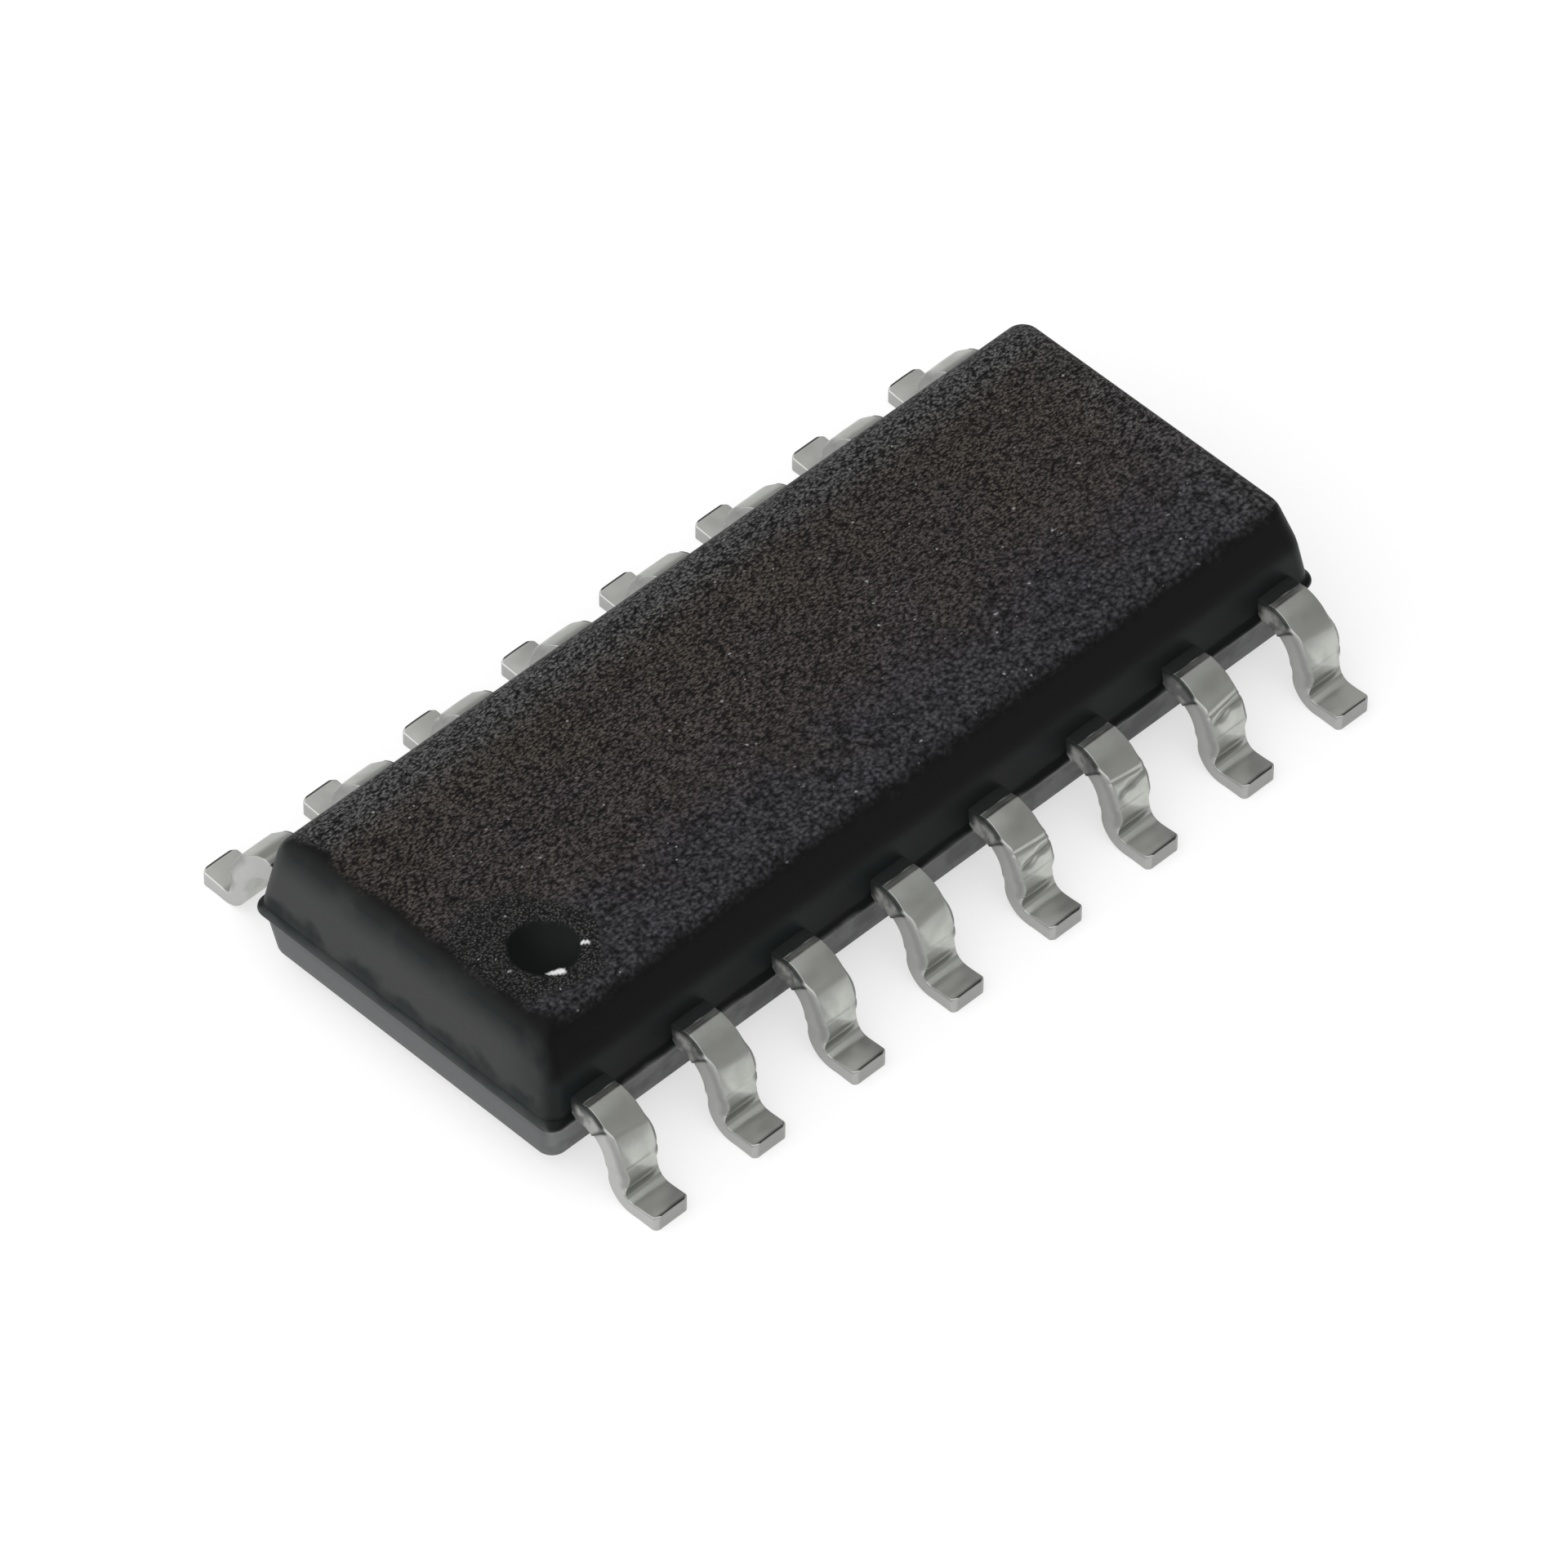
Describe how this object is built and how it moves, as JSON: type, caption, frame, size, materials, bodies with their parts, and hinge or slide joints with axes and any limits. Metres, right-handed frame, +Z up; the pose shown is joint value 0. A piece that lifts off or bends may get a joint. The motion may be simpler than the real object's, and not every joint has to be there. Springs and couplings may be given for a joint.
{
  "type": "multiplexer chip",
  "caption": "Small-outline surface-mount multiplexer chip: black moulded body with one bevelled side and a round dimple by the first lead, and gull-wing leads along both long sides.",
  "frame": {"origin": "centre of the footprint, in the plane of the lead soles", "axes": "+X along the package from lead 1 to lead 8, +Y towards the side of leads 9 to 16, +Z up from the circuit board"},
  "size_m": [0.01, 0.006, 0.0017],
  "materials": {
    "mould": "black moulding compound, fine grain on the top and satin sides",
    "tin_plate": "satin tin plate over copper alloy",
    "copper": "bare copper alloy strip",
    "adhesive": "silver-filled adhesive",
    "silicon": "polished silicon",
    "gold": "drawn gold wire"
  },
  "bodies": {
    "root": {"package_body": "mould", "die_paddle": "copper", "die_attach": "adhesive", "die": "silicon", "lead_1": "tin_plate", "lead_2": "tin_plate", "lead_3": "tin_plate", "lead_4": "tin_plate", "lead_5": "tin_plate", "lead_6": "tin_plate", "lead_7": "tin_plate", "lead_8": "tin_plate", "lead_9": "tin_plate", "lead_10": "tin_plate", "lead_11": "tin_plate", "lead_12": "tin_plate", "lead_13": "tin_plate", "lead_14": "tin_plate", "lead_15": "tin_plate", "lead_16": "tin_plate", "bond_wire_1": "gold", "bond_wire_2": "gold", "bond_wire_3": "gold", "bond_wire_4": "gold", "bond_wire_5": "gold", "bond_wire_6": "gold", "bond_wire_7": "gold", "bond_wire_8": "gold", "bond_wire_9": "gold", "bond_wire_10": "gold", "bond_wire_11": "gold", "bond_wire_12": "gold", "bond_wire_13": "gold", "bond_wire_14": "gold", "bond_wire_15": "gold", "bond_wire_16": "gold"}
  },
  "joints": []
}
